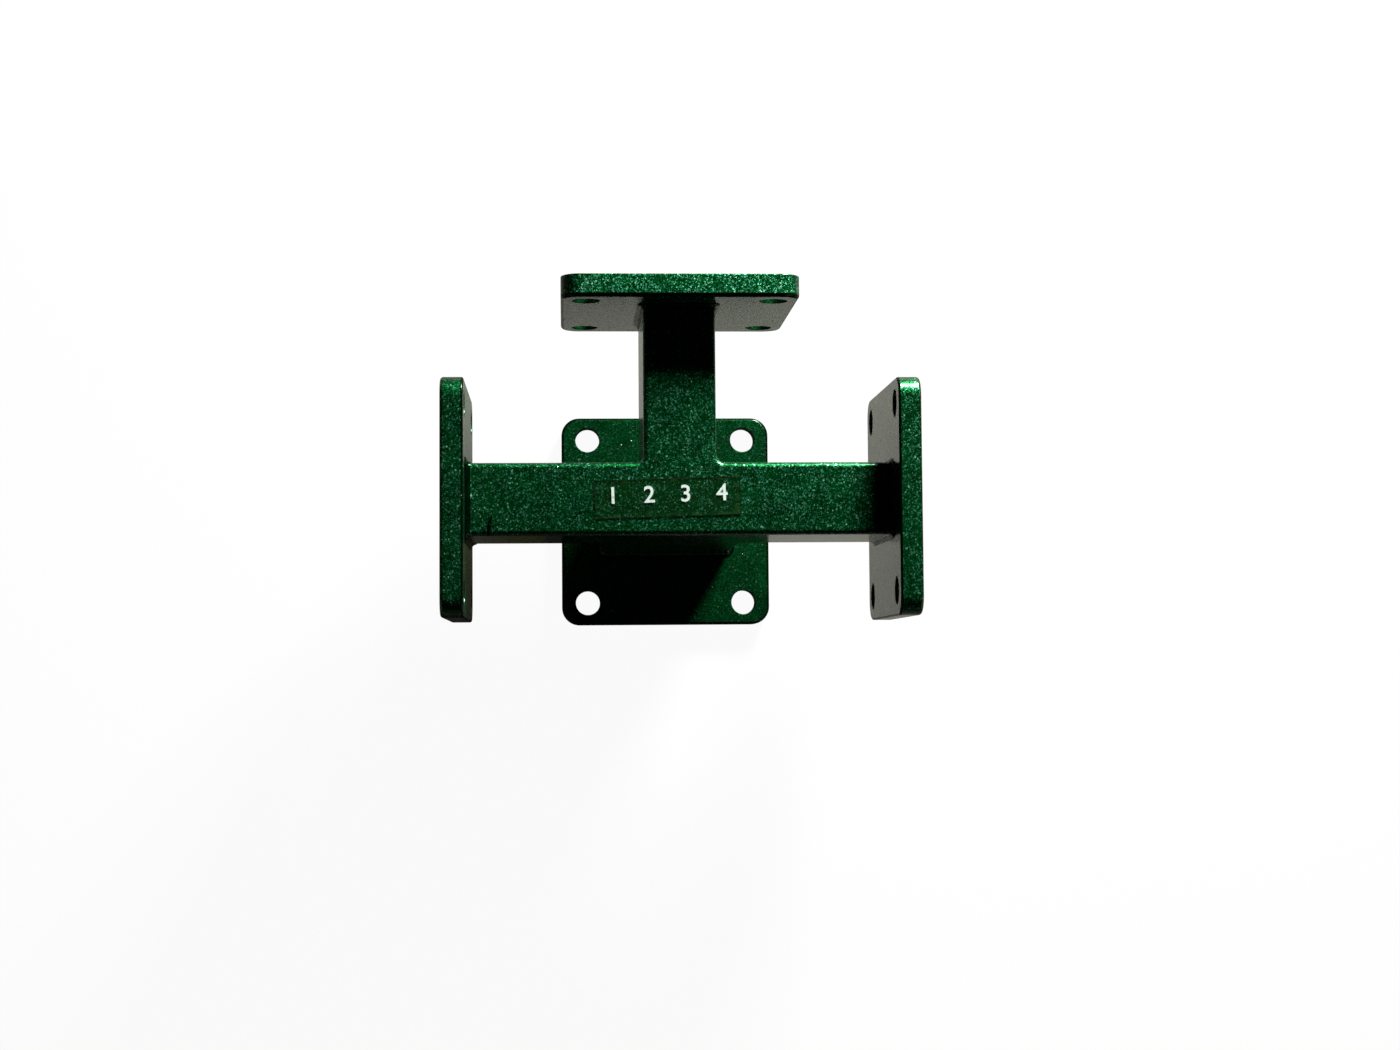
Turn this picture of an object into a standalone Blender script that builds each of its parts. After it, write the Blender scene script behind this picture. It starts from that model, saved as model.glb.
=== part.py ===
"""Waveguide magic tee for the X band.

Four rectangular ports meet in one junction. A straight through guide carries port 1 and port 2.
The E arm stands on its broad wall and the H arm on its narrow wall. Each arm is drawn brass tube,
brazed at its root and into a square cover flange whose face is flush with the end of the tube.

The tee stands on the flange of its H port. X runs from port 1 to port 2, Y points out of the
E port and Z points up. Sizes are in metres.
"""

import math

import bmesh
import bpy
from mathutils import Matrix, Vector

# Drawn rectangular tube
INNER_WIDTH = 0.02286
INNER_HEIGHT = 0.01016
WALL = 0.00127
OUTER_CORNER = 0.0007
INNER_CORNER = 0.0004

# Distance of each port's face from the axes of the junction
PORT_SPAN = 0.08255
E_REACH = 0.0381
H_REACH = 0.0508

# Square cover flange
FLANGE_SIDE = 0.0413
FLANGE_THICKNESS = 0.0040
FLANGE_CORNER = 0.0035
FLANGE_EDGE = 0.0008

# Bolt holes, each set in from the two edges of the flange that it is nearest to, so that they are
# 30.99 mm apart along the broad side of the guide and 32.51 mm apart across it
BOLT_INSET_ALONG = 0.005155
BOLT_INSET_ACROSS = 0.004395
BOLT_HOLE = 0.0048
BOLT_DEBURR = 0.00015

# Brazed joints
BRAZE_GAP = 0.0001
COLLAR_FILLET = 0.0010
ROOT_FILLET = 0.0015
FILLET_LAND = 0.00012

# Slots that join the arms to the through guide
SLOT_LAND = 0.0003

# Post that matches the H arm
POST_DIAMETER = 0.0032
POST_HEIGHT = 0.0070
POST_TIP = 0.0008
POST_SEAT_DEPTH = 0.0006
POST_OFFSET = 0.0035

# Iris that matches the E arm
IRIS_THICKNESS = 0.0010
IRIS_SETBACK = 0.0050
IRIS_WINDOW_WIDTH = 0.0156
IRIS_WINDOW_HEIGHT = 0.0074
IRIS_CORNER = 0.0012

# Clear label on the upper narrow wall of the through guide
LABEL_LENGTH = 0.0255
LABEL_HEIGHT = 0.0067
LABEL_THICKNESS = 0.00012
LABEL_CORNER = 0.0002
LABEL_GAP = 0.00005
LABEL_SHIFT_X = -0.0022
LABEL_SHIFT_Y = 0.00015
LABEL_TILT = math.radians(1.65)

# Facets of a quarter turn, the angle that stays a crisp edge in shading,
# and how far a cutter runs past what it cuts
TUBE_CORNER_STEPS = 5
FLANGE_CORNER_STEPS = 8
EDGE_STEPS = 4
FILLET_STEPS = 5
HOLE_STEPS = 10
CRISP_ANGLE = math.radians(35)
CUT_PAST = 0.0005

# Worked out from the sizes above
OUTER_WIDTH = INNER_WIDTH + 2 * WALL
OUTER_HEIGHT = INNER_HEIGHT + 2 * WALL
AXIS_Y = -(E_REACH - FLANGE_SIDE / 2) / 2


def arc(centre, radius, start, end, steps):
    """Points from start to end, in quarter turns, on a circle in the plane."""
    points = []
    for step in range(steps + 1):
        angle = (start + (end - start) * step / steps) * math.pi / 2
        x = centre[0] + radius * math.cos(angle)
        y = centre[1] + radius * math.sin(angle)
        points.append((x, y))
    return points


def rounded_rectangle(width, height, radius, steps):
    """Outline of a rectangle with round corners, counter-clockwise about the origin."""
    x = width / 2 - radius
    y = height / 2 - radius
    outline = []
    for quarter, centre in enumerate(((x, y), (-x, y), (-x, -y), (x, -y))):
        outline += arc(centre, radius, quarter, quarter + 1, steps)
    return outline


def circle(radius, steps, centre=(0.0, 0.0)):
    """Outline of a circle with the given number of steps in each quarter."""
    return arc(centre, radius, 0, 4, 4 * steps)[:-1]


def at_height(outline, z):
    """Lift a flat outline to a height."""
    return [(x, y, z) for x, y in outline]


def concave_fillet(leg):
    """Section of a braze fillet in the corner at the origin, hollow towards the open side."""
    hollow = arc((leg, leg), leg - FILLET_LAND, 3, 2, FILLET_STEPS)
    return [(0.0, 0.0), (leg, 0.0)] + hollow + [(0.0, leg)]


def loft(mesh, loops, ring=False):
    """Skin loops of equal length into a closed body, capped at its ends or closed into a ring."""
    rows = [[mesh.verts.new(point) for point in loop] for loop in loops]
    pairs = list(zip(rows, rows[1:]))
    if ring:
        pairs.append((rows[-1], rows[0]))
    else:
        mesh.faces.new(rows[0])
        mesh.faces.new(rows[-1])
    for lower, upper in pairs:
        for i in range(len(lower)):
            mesh.faces.new((lower[i - 1], lower[i], upper[i], upper[i - 1]))


def finish_mesh(name, mesh):
    """Turn a bmesh into a smooth-shaded mesh with its faces pointing out."""
    bmesh.ops.recalc_face_normals(mesh, faces=mesh.faces)
    data = bpy.data.meshes.new(name)
    mesh.to_mesh(data)
    mesh.free()
    data.shade_smooth()
    data.set_sharp_from_angle(angle=CRISP_ANGLE)
    return data


def lofted(name, loops, ring=False):
    """Mesh of a single lofted body."""
    mesh = bmesh.new()
    loft(mesh, loops, ring)
    return finish_mesh(name, mesh)


def add_object(name, data, parent, material=None):
    """Link an object into the scene under its parent."""
    thing = bpy.data.objects.new(name, data)
    thing.parent = parent
    bpy.context.scene.collection.objects.link(thing)
    if material is not None and not data.materials:
        data.materials.append(material)
    return thing


def add_cutter(name, data, parent):
    """Link a mesh that only cuts others."""
    cutter = add_object(name, data, parent)
    cutter.hide_render = True
    cutter.display_type = "WIRE"
    return cutter


def cut(thing, cutter):
    """Subtract a cutter from an object."""
    boolean = thing.modifiers.new(cutter.name, "BOOLEAN")
    boolean.operation = "DIFFERENCE"
    boolean.solver = "EXACT"
    boolean.object = cutter


def make_material(name, colour, roughness, metallic, alpha=1.0):
    """Plain Principled material."""
    material = bpy.data.materials.new(name)
    material.use_nodes = True
    shader = material.node_tree.nodes["Principled BSDF"]
    shader.inputs["Base Color"].default_value = (*colour, 1.0)
    shader.inputs["Roughness"].default_value = roughness
    shader.inputs["Metallic"].default_value = metallic
    shader.inputs["Alpha"].default_value = alpha
    material.diffuse_color = (*colour, alpha)
    return material


def add_axis(name, outward, broad, parent):
    """Empty whose Z points out of a port and whose X runs along the guide's broad side."""
    outward = Vector(outward)
    broad = Vector(broad)
    axis = bpy.data.objects.new(name, None)
    columns = Matrix((broad, outward.cross(broad), outward)).transposed()
    axis.rotation_euler = columns.to_euler()
    axis.empty_display_size = FLANGE_SIDE / 4
    axis.parent = parent
    bpy.context.scene.collection.objects.link(axis)
    return axis


def tube_mesh(name, low, high):
    """Rectangular tube along Z between two heights."""
    outer = rounded_rectangle(OUTER_WIDTH, OUTER_HEIGHT, OUTER_CORNER, TUBE_CORNER_STEPS)
    inner = rounded_rectangle(INNER_WIDTH, INNER_HEIGHT, INNER_CORNER, TUBE_CORNER_STEPS)
    loops = [
        at_height(outer, low),
        at_height(outer, high),
        at_height(inner, high),
        at_height(inner, low),
    ]
    return lofted(name, loops, ring=True)


def slot_mesh(name, wall_centre):
    """Cutter for the slot under an arm, through the wall that lies across the arm's axis."""
    outline = rounded_rectangle(
        INNER_WIDTH - 2 * SLOT_LAND, INNER_HEIGHT - 2 * SLOT_LAND, INNER_CORNER, TUBE_CORNER_STEPS
    )
    reach = WALL / 2 + CUT_PAST
    loops = [at_height(outline, wall_centre - reach), at_height(outline, wall_centre + reach)]
    return lofted(name, loops)


def envelope_mesh(name, low, high):
    """Cutter along Z in the shape of a tube and the braze round it."""
    outline = rounded_rectangle(
        OUTER_WIDTH + 2 * BRAZE_GAP,
        OUTER_HEIGHT + 2 * BRAZE_GAP,
        OUTER_CORNER + BRAZE_GAP,
        TUBE_CORNER_STEPS,
    )
    return lofted(name, [at_height(outline, low), at_height(outline, high)])


def flange_plate_mesh(name):
    """Square plate with round corners and eased edges, its mating face at height zero."""
    back_edge = arc((FLANGE_EDGE, FLANGE_EDGE - FLANGE_THICKNESS), FLANGE_EDGE, 3, 2, EDGE_STEPS)
    face_edge = arc((FLANGE_EDGE, -FLANGE_EDGE), FLANGE_EDGE, 2, 1, EDGE_STEPS)
    loops = []
    for inset, z in back_edge + face_edge:
        side = FLANGE_SIDE - 2 * inset
        outline = rounded_rectangle(side, side, FLANGE_CORNER - inset, FLANGE_CORNER_STEPS)
        loops.append(at_height(outline, z))
    return lofted(name, loops)


def flange_cutter_mesh(name):
    """Cutter for the tube's window and the four deburred bolt holes of a flange."""
    mesh = bmesh.new()
    back = -FLANGE_THICKNESS
    window = rounded_rectangle(
        OUTER_WIDTH + 2 * BRAZE_GAP,
        OUTER_HEIGHT + 2 * BRAZE_GAP,
        OUTER_CORNER + BRAZE_GAP,
        TUBE_CORNER_STEPS,
    )
    loft(mesh, [at_height(window, back - CUT_PAST), at_height(window, CUT_PAST)])
    radius = BOLT_HOLE / 2
    flare = radius + BOLT_DEBURR + CUT_PAST
    along = FLANGE_SIDE / 2 - BOLT_INSET_ALONG
    across = FLANGE_SIDE / 2 - BOLT_INSET_ACROSS
    for side_x in (-1, 1):
        for side_y in (-1, 1):
            centre = (side_x * along, side_y * across)
            loops = [
                at_height(circle(flare, HOLE_STEPS, centre), back - CUT_PAST),
                at_height(circle(radius, HOLE_STEPS, centre), back + BOLT_DEBURR),
                at_height(circle(radius, HOLE_STEPS, centre), -BOLT_DEBURR),
                at_height(circle(flare, HOLE_STEPS, centre), CUT_PAST),
            ]
            loft(mesh, loops)
    return finish_mesh(name, mesh)


def collar_mesh(name):
    """Ring of braze round a tube, in the corner behind its flange."""
    loops = []
    for out, down in reversed(concave_fillet(COLLAR_FILLET)):
        offset = BRAZE_GAP + out
        outline = rounded_rectangle(
            OUTER_WIDTH + 2 * offset, OUTER_HEIGHT + 2 * offset, OUTER_CORNER + offset, TUBE_CORNER_STEPS
        )
        loops.append(at_height(outline, -FLANGE_THICKNESS - BRAZE_GAP - down))
    return lofted(name, loops, ring=True)


def root_fillet_mesh(name, side, half_arm, seat, along, length):
    """Strip of braze beside the root of an arm, in the arm's own axes."""
    side = Vector(side)
    along = Vector(along)
    corner = side * (half_arm + BRAZE_GAP) + Vector((0, 0, seat + BRAZE_GAP))
    section = [corner + side * u + Vector((0, 0, v)) for u, v in concave_fillet(ROOT_FILLET)]
    ends = [[point + along * (end * length / 2) for point in section] for end in (-1, 1)]
    return lofted(name, ends)


def post_mesh(name):
    """Turned post whose foot sits in a recess of the floor of the through guide."""
    floor = -INNER_HEIGHT / 2
    radius = POST_DIAMETER / 2
    top = floor + POST_HEIGHT
    loops = [at_height(circle(radius, HOLE_STEPS), floor - POST_SEAT_DEPTH + BRAZE_GAP)]
    for r, z in arc((radius - POST_TIP, top - POST_TIP), POST_TIP, 0, 1, EDGE_STEPS):
        loops.append(at_height(circle(r, HOLE_STEPS), z))
    return lofted(name, loops)


def post_seat_mesh(name):
    """Cutter for the recess under the post."""
    floor = -INNER_HEIGHT / 2
    outline = circle(POST_DIAMETER / 2 + BRAZE_GAP, HOLE_STEPS)
    loops = [at_height(outline, floor - POST_SEAT_DEPTH), at_height(outline, floor + CUT_PAST)]
    return lofted(name, loops)


def iris_mesh(name):
    """Plate across the E arm with a round-cornered window."""
    plate = rounded_rectangle(
        INNER_WIDTH - 2 * BRAZE_GAP, INNER_HEIGHT - 2 * BRAZE_GAP, INNER_CORNER, TUBE_CORNER_STEPS
    )
    window = rounded_rectangle(IRIS_WINDOW_WIDTH, IRIS_WINDOW_HEIGHT, IRIS_CORNER, TUBE_CORNER_STEPS)
    low = OUTER_HEIGHT / 2 + IRIS_SETBACK
    high = low + IRIS_THICKNESS
    loops = [at_height(plate, low), at_height(plate, high), at_height(window, high), at_height(window, low)]
    return lofted(name, loops, ring=True)


def label_mesh(name):
    """Thin film with its lower face at height zero."""
    outline = rounded_rectangle(LABEL_LENGTH, LABEL_HEIGHT, LABEL_CORNER, EDGE_STEPS)
    return lofted(name, [at_height(outline, 0.0), at_height(outline, LABEL_THICKNESS)])


def build_through_guide(axes, paint):
    """Straight guide from port 1 to port 2, slotted for both arms."""
    straight = tube_mesh("through_guide", -PORT_SPAN / 2, PORT_SPAN / 2)
    tube = add_object("through_guide", straight, axes["port_2"], paint)
    e_slot = slot_mesh("e_slot", OUTER_HEIGHT / 2 - WALL / 2)
    h_slot = slot_mesh("h_slot", OUTER_WIDTH / 2 - WALL / 2)
    cut(tube, add_cutter("e_slot", e_slot, axes["e_port"]))
    cut(tube, add_cutter("h_slot", h_slot, axes["h_port"]))
    post_seat = add_cutter("post_seat", post_seat_mesh("post_seat"), axes["e_port"])
    post_seat.location.x = -POST_OFFSET
    cut(tube, post_seat)


def build_arms(axes, paint):
    """E arm on the broad wall and H arm on the narrow wall, each coped to fit round the wall.

    Where their ends would meet, at one corner of the through guide, the E arm makes room.
    """
    h_start = OUTER_WIDTH / 2 - OUTER_CORNER
    e_tube = tube_mesh("e_arm", OUTER_HEIGHT / 2 - OUTER_CORNER, E_REACH)
    h_tube = tube_mesh("h_arm", h_start, H_REACH)
    e_arm = add_object("e_arm", e_tube, axes["e_port"], paint)
    h_arm = add_object("h_arm", h_tube, axes["h_port"], paint)

    reach = OUTER_WIDTH / 2 + CUT_PAST
    guide_room = add_cutter("guide_room", envelope_mesh("guide_room", -reach, reach), axes["port_2"])
    h_arm_room = add_cutter("h_arm_room", envelope_mesh("h_arm_room", h_start, reach), axes["h_port"])
    cut(e_arm, guide_room)
    cut(h_arm, guide_room)
    cut(e_arm, h_arm_room)


def build_flanges(axes, reaches, paint):
    """Flange and braze collar at each port, all from one set of meshes."""
    plate = flange_plate_mesh("flange")
    cutter = flange_cutter_mesh("flange_cutter")
    collar = collar_mesh("flange_braze")
    for port, axis in axes.items():
        flange = add_object(port + "_flange", plate, axis, paint)
        flange.location.z = reaches[port]
        cut(flange, add_cutter(port + "_flange_cutter", cutter, flange))
        braze = add_object(port + "_flange_braze", collar, axis, paint)
        braze.location.z = reaches[port]


def build_root_fillets(axes, paint):
    """Braze strips on both sides of each arm's root, where the walls aren't flush."""
    for name, side in (("left", -1), ("right", 1)):
        e_strip = root_fillet_mesh(
            "e_root_braze_" + name,
            (0, side, 0),
            OUTER_HEIGHT / 2,
            OUTER_HEIGHT / 2,
            (1, 0, 0),
            OUTER_WIDTH - 2 * OUTER_CORNER,
        )
        add_object("e_root_braze_" + name, e_strip, axes["e_port"], paint)
        h_strip = root_fillet_mesh(
            "h_root_braze_" + name,
            (side, 0, 0),
            OUTER_WIDTH / 2,
            OUTER_WIDTH / 2,
            (0, 1, 0),
            OUTER_HEIGHT - 2 * OUTER_CORNER,
        )
        add_object("h_root_braze_" + name, h_strip, axes["h_port"], paint)


def build_matching(axes, brass):
    """Post in the junction and iris in the E arm."""
    post = add_object("matching_post", post_mesh("matching_post"), axes["e_port"], brass)
    post.location.x = -POST_OFFSET
    add_object("matching_iris", iris_mesh("matching_iris"), axes["e_port"], brass)


def build_label(junction, film):
    """Label on the wall of the through guide that faces up."""
    label = add_object("label", label_mesh("label"), junction, film)
    label.location = (LABEL_SHIFT_X, LABEL_SHIFT_Y, OUTER_WIDTH / 2 + LABEL_GAP)
    label.rotation_euler.z = LABEL_TILT


def main():
    """Build the whole tee."""
    for thing in list(bpy.data.objects):
        bpy.data.objects.remove(thing, do_unlink=True)

    paint = make_material("green metallic paint", (0.003, 0.045, 0.022), 0.35, 0.2)
    brass = make_material("brass", (0.62, 0.43, 0.16), 0.3, 1.0)
    film = make_material("clear film", (0.02, 0.05, 0.03), 0.15, 0.0, 0.6)

    junction = bpy.data.objects.new("junction", None)
    junction.location = (0.0, AXIS_Y, H_REACH)
    junction.empty_display_size = FLANGE_SIDE / 2
    bpy.context.scene.collection.objects.link(junction)
    axes = {
        "port_1": add_axis("port_1_axis", (-1, 0, 0), (0, 0, 1), junction),
        "port_2": add_axis("port_2_axis", (1, 0, 0), (0, 0, 1), junction),
        "e_port": add_axis("e_port_axis", (0, 1, 0), (0, 0, 1), junction),
        "h_port": add_axis("h_port_axis", (0, 0, -1), (1, 0, 0), junction),
    }
    reaches = {
        "port_1": PORT_SPAN / 2,
        "port_2": PORT_SPAN / 2,
        "e_port": E_REACH,
        "h_port": H_REACH,
    }

    build_through_guide(axes, paint)
    build_arms(axes, paint)
    build_flanges(axes, reaches, paint)
    build_root_fillets(axes, paint)
    build_matching(axes, brass)
    build_label(junction, film)
    bpy.context.view_layer.update()


main()
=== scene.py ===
"""Looks of the waveguide magic tee: brazed brass tube and flanges, sprayed green, with a label."""

import math

import bmesh
import bpy
from mathutils import Matrix, Vector


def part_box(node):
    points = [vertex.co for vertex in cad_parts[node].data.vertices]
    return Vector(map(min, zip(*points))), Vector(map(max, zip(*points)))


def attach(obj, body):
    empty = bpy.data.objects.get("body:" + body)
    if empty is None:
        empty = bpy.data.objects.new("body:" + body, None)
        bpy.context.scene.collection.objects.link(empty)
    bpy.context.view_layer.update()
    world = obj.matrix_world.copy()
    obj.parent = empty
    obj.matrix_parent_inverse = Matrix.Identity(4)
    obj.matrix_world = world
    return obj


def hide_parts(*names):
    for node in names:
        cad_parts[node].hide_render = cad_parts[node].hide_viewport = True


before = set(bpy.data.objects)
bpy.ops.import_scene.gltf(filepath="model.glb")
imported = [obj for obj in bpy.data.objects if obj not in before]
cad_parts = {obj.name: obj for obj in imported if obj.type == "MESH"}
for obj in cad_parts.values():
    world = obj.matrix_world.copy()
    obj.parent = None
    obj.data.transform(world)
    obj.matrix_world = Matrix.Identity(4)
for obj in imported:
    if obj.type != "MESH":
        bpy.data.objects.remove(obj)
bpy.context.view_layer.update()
bpy.context.scene.view_settings.view_transform = "Standard"


# Through guide: one straight length of drawn rectangular brass tube between port 1 and port 2.
# A slot in one broad wall opens into the E arm, and one in the lower narrow wall into the H arm.
# It is sprayed green outside with the rest, and its inside stays as it was drawn.

WALL = 0.00127
TUBE_CORNER = 0.00095
TUBE_STEPS = 6
BORE_CORNER = 0.0004
BORE_STEPS = 4
MOUTH_BURR = 0.00006
SLOT_LAND = 0.0003
CUT_PAST = 0.0005
NICK_X = -0.0333
NICK_WIDTH = 0.00064
NICK_LENGTH = 0.0036
NICK_DEPTH = 0.0012
NICK_TURN = math.radians(-5)
SHADE_ANGLE = math.radians(35)
ALONG = 0.99
SQUARE = 0.01


def colour(hex_code):
    """Linear colour of an sRGB hex code."""
    levels = [int(hex_code[i:i + 2], 16) / 255 for i in (1, 3, 5)]
    linear = [
        level / 12.92 if level <= 0.04045 else ((level + 0.055) / 1.055) ** 2.4
        for level in levels
    ]
    return (*linear, 1.0)


def add_node(tree, kind, settings, inputs):
    """Add a shader node with its settings, and a value or a link at each input that is named."""
    node = tree.nodes.new(kind)
    for name, value in settings.items():
        setattr(node, name, value)
    for name, value in inputs.items():
        if isinstance(value, bpy.types.NodeSocket):
            tree.links.new(value, node.inputs[name])
        else:
            node.inputs[name].default_value = value
    return node


def start_material(name, constants):
    """Start a Principled material and return it with its tree, shader and Object coordinates."""
    material = bpy.data.materials.new(name)
    material.use_nodes = True
    tree = material.node_tree
    shader = tree.nodes["Principled BSDF"]
    for socket, value in constants.items():
        shader.inputs[socket].default_value = value
    place = add_node(tree, "ShaderNodeTexCoord", {}, {}).outputs["Object"]
    return material, tree, shader, place


def make_green_enamel(name, lightness, sparkle, resin):
    """Metallic enamel, sprayed over brass and baked.

    Green-stained aluminium flakes lie at odd angles in a clear resin, so the colour glitters and
    turns dark away from the light. The resin is full gloss, with a little orange peel and dust.
    lightness scales the whole colour; above or below 1 it paints light or shade on a copy. sparkle
    is how much the flakes stand out singly, and resin how much clear gloss lies over them.
    """
    # Real flakes are about 0.05 mm across. They are drawn 0.19 and 0.24 mm across, so that they
    # show. The colour drifts over 4.5 mm, orange peel is 1.1 mm and nibs of dust 2.8 mm apart.
    flake = 0.00019
    glint = 0.00024
    cloud = 0.0045
    peel = 0.0011
    nib = 0.0028
    ripple_height = 0.00006
    lean = 0.24 * sparkle
    material, tree, shader, place = start_material(
        name,
        {
            "Metallic": 0.85,
            "Roughness": 0.42,
            "Specular IOR Level": 0.0,
            "Specular Tint": colour("#123C28"),
            "Coat Weight": resin,
            "Coat Roughness": 0.16,
            "Coat IOR": 1.5,
        },
    )
    cells = add_node(tree, "ShaderNodeTexVoronoi", {}, {"Vector": place, "Scale": 1 / flake})
    fine = add_node(tree, "ShaderNodeTexVoronoi", {}, {"Vector": place, "Scale": 1 / glint})
    clouds = add_node(
        tree,
        "ShaderNodeTexNoise",
        {},
        {"Vector": place, "Scale": 1 / cloud, "Detail": 2.0},
    )
    luck = add_node(tree, "ShaderNodeSeparateColor", {}, {"Color": cells.outputs["Color"]})
    fine_luck = add_node(tree, "ShaderNodeSeparateColor", {}, {"Color": fine.outputs["Color"]})
    flat = add_node(
        tree,
        "ShaderNodeMix",
        {"data_type": "RGBA"},
        {"Factor": luck.outputs["Red"], 6: colour("#003610"), 7: colour("#005422")},
    )
    turned = add_node(
        tree,
        "ShaderNodeMapRange",
        {"interpolation_type": "SMOOTHSTEP"},
        {
            "Value": luck.outputs["Green"],
            "From Min": 0.72,
            "From Max": 1.0,
            "To Max": 0.6 * sparkle,
        },
    )
    lit = add_node(
        tree,
        "ShaderNodeMix",
        {"data_type": "RGBA"},
        {"Factor": turned.outputs["Result"], 6: flat.outputs[2], 7: colour("#4C9C7C")},
    )
    speck = add_node(
        tree,
        "ShaderNodeMapRange",
        {},
        {
            "Value": fine_luck.outputs["Blue"],
            "From Min": 0.975,
            "From Max": 1.0,
            "To Max": sparkle,
        },
    )
    glitter = add_node(
        tree,
        "ShaderNodeMix",
        {"data_type": "RGBA"},
        {"Factor": speck.outputs["Result"], 6: lit.outputs[2], 7: colour("#90D8B0")},
    )
    drift = add_node(
        tree,
        "ShaderNodeMapRange",
        {},
        {
            "Value": clouds.outputs["Fac"],
            "From Min": 0.3,
            "From Max": 0.7,
            "To Min": 0.75 * lightness,
            "To Max": 1.2 * lightness,
        },
    )
    base = add_node(
        tree,
        "ShaderNodeVectorMath",
        {"operation": "SCALE"},
        {0: glitter.outputs[2], "Scale": drift.outputs["Result"]},
    )
    tree.links.new(base.outputs["Vector"], shader.inputs["Base Color"])

    surface = add_node(tree, "ShaderNodeNewGeometry", {}, {})
    centred = add_node(
        tree,
        "ShaderNodeVectorMath",
        {"operation": "SUBTRACT"},
        {0: cells.outputs["Color"], 1: (0.5, 0.5, 0.5)},
    )
    leant = add_node(
        tree,
        "ShaderNodeVectorMath",
        {"operation": "SCALE"},
        {0: centred.outputs["Vector"], "Scale": lean},
    )
    summed = add_node(
        tree,
        "ShaderNodeVectorMath",
        {"operation": "ADD"},
        {0: surface.outputs["Normal"], 1: leant.outputs["Vector"]},
    )
    facing = add_node(
        tree,
        "ShaderNodeVectorMath",
        {"operation": "NORMALIZE"},
        {0: summed.outputs["Vector"]},
    )
    tree.links.new(facing.outputs["Vector"], shader.inputs["Normal"])

    ripple = add_node(
        tree,
        "ShaderNodeTexNoise",
        {},
        {"Vector": place, "Scale": 1 / peel, "Detail": 3.0},
    )
    spots = add_node(tree, "ShaderNodeTexVoronoi", {}, {"Vector": place, "Scale": 1 / nib})
    dust = add_node(
        tree,
        "ShaderNodeMapRange",
        {"interpolation_type": "SMOOTHSTEP"},
        {"Value": spots.outputs["Distance"], "From Max": 0.12, "To Min": 5.0, "To Max": 0.0},
    )
    relief = add_node(
        tree,
        "ShaderNodeMath",
        {"operation": "ADD"},
        {0: ripple.outputs["Fac"], 1: dust.outputs["Result"]},
    )
    gloss = add_node(
        tree,
        "ShaderNodeBump",
        {},
        {"Height": relief.outputs["Value"], "Strength": 0.5, "Distance": ripple_height},
    )
    tree.links.new(gloss.outputs["Normal"], shader.inputs["Coat Normal"])
    return material


def make_brass(name, shares, grain, roughness, dull):
    """Bare brass with fine tool marks, gone brown in patches.

    grain is the size of the marks and shares how much of it they keep on each axis, so a small
    share squeezes them to fine lines across that axis. dull is how brown the patches are.
    """
    # Real tool marks are under 0.1 mm wide. Their grain is drawn 0.3 to 0.5 mm, so that it shows.
    patch = 0.004
    line_depth = 0.00003
    material, tree, shader, place = start_material(name, {"Metallic": 1.0})
    stretched = add_node(
        tree,
        "ShaderNodeMapping",
        {},
        {"Vector": place, "Scale": [1 / share for share in shares]},
    )
    lines = add_node(
        tree,
        "ShaderNodeTexNoise",
        {},
        {"Vector": stretched.outputs["Vector"], "Scale": 1 / grain, "Detail": 3.0},
    )
    patches = add_node(
        tree,
        "ShaderNodeTexNoise",
        {},
        {"Vector": place, "Scale": 1 / patch, "Detail": 4.0},
    )
    tarnish = add_node(
        tree,
        "ShaderNodeMapRange",
        {"interpolation_type": "SMOOTHSTEP"},
        {"Value": patches.outputs["Fac"], "From Min": 0.42, "From Max": 0.72, "To Max": dull},
    )
    base = add_node(
        tree,
        "ShaderNodeMix",
        {"data_type": "RGBA"},
        {"Factor": tarnish.outputs["Result"], 6: colour("#D9B468"), 7: colour("#7A5A2C")},
    )
    tree.links.new(base.outputs[2], shader.inputs["Base Color"])
    rough = add_node(
        tree,
        "ShaderNodeMapRange",
        {},
        {"Value": lines.outputs["Fac"], "To Min": roughness - 0.08, "To Max": roughness + 0.12},
    )
    tree.links.new(rough.outputs["Result"], shader.inputs["Roughness"])
    bump = add_node(
        tree,
        "ShaderNodeBump",
        {},
        {"Height": lines.outputs["Fac"], "Strength": 0.4, "Distance": line_depth},
    )
    tree.links.new(bump.outputs["Normal"], shader.inputs["Normal"])
    return material


def add_block(name, low, high):
    """Add a cube that fills a box, with its place in its mesh."""
    low = Vector(low)
    high = Vector(high)
    bpy.ops.object.select_all(action="DESELECT")
    bpy.ops.mesh.primitive_cube_add(size=1, location=(low + high) / 2, scale=high - low)
    bpy.ops.object.transform_apply(location=True, rotation=True, scale=True)
    block = bpy.context.object
    block.name = name
    return block


def bevel(piece, wanted, width, segments, profile=0.5):
    """Bevel the edges that pass a test of their middle and their direction."""
    bpy.context.view_layer.objects.active = piece
    bpy.ops.object.mode_set(mode="EDIT")
    bpy.ops.mesh.select_mode(type="EDGE")
    bpy.ops.mesh.select_all(action="DESELECT")
    mesh = bmesh.from_edit_mesh(piece.data)
    for edge in mesh.edges:
        start, end = (vert.co for vert in edge.verts)
        if wanted((start + end) / 2, (end - start).normalized()):
            edge.select_set(True)
    bmesh.update_edit_mesh(piece.data)
    bpy.ops.mesh.bevel(offset=width, segments=segments, profile=profile, affect="EDGES")
    bpy.ops.object.mode_set(mode="OBJECT")


def apply_modifier(piece, kind, settings):
    """Add a modifier to a piece and apply it."""
    bpy.context.view_layer.objects.active = piece
    modifier = piece.modifiers.new(kind, kind)
    for name, value in settings.items():
        setattr(modifier, name, value)
    bpy.ops.object.modifier_apply(modifier=modifier.name)


def combine(piece, other, operation):
    """Cut another block out of a piece or melt it in, and remove that block."""
    apply_modifier(
        piece,
        "BOOLEAN",
        {"operation": operation, "solver": "EXACT", "object": other},
    )
    bpy.data.objects.remove(other)


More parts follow.
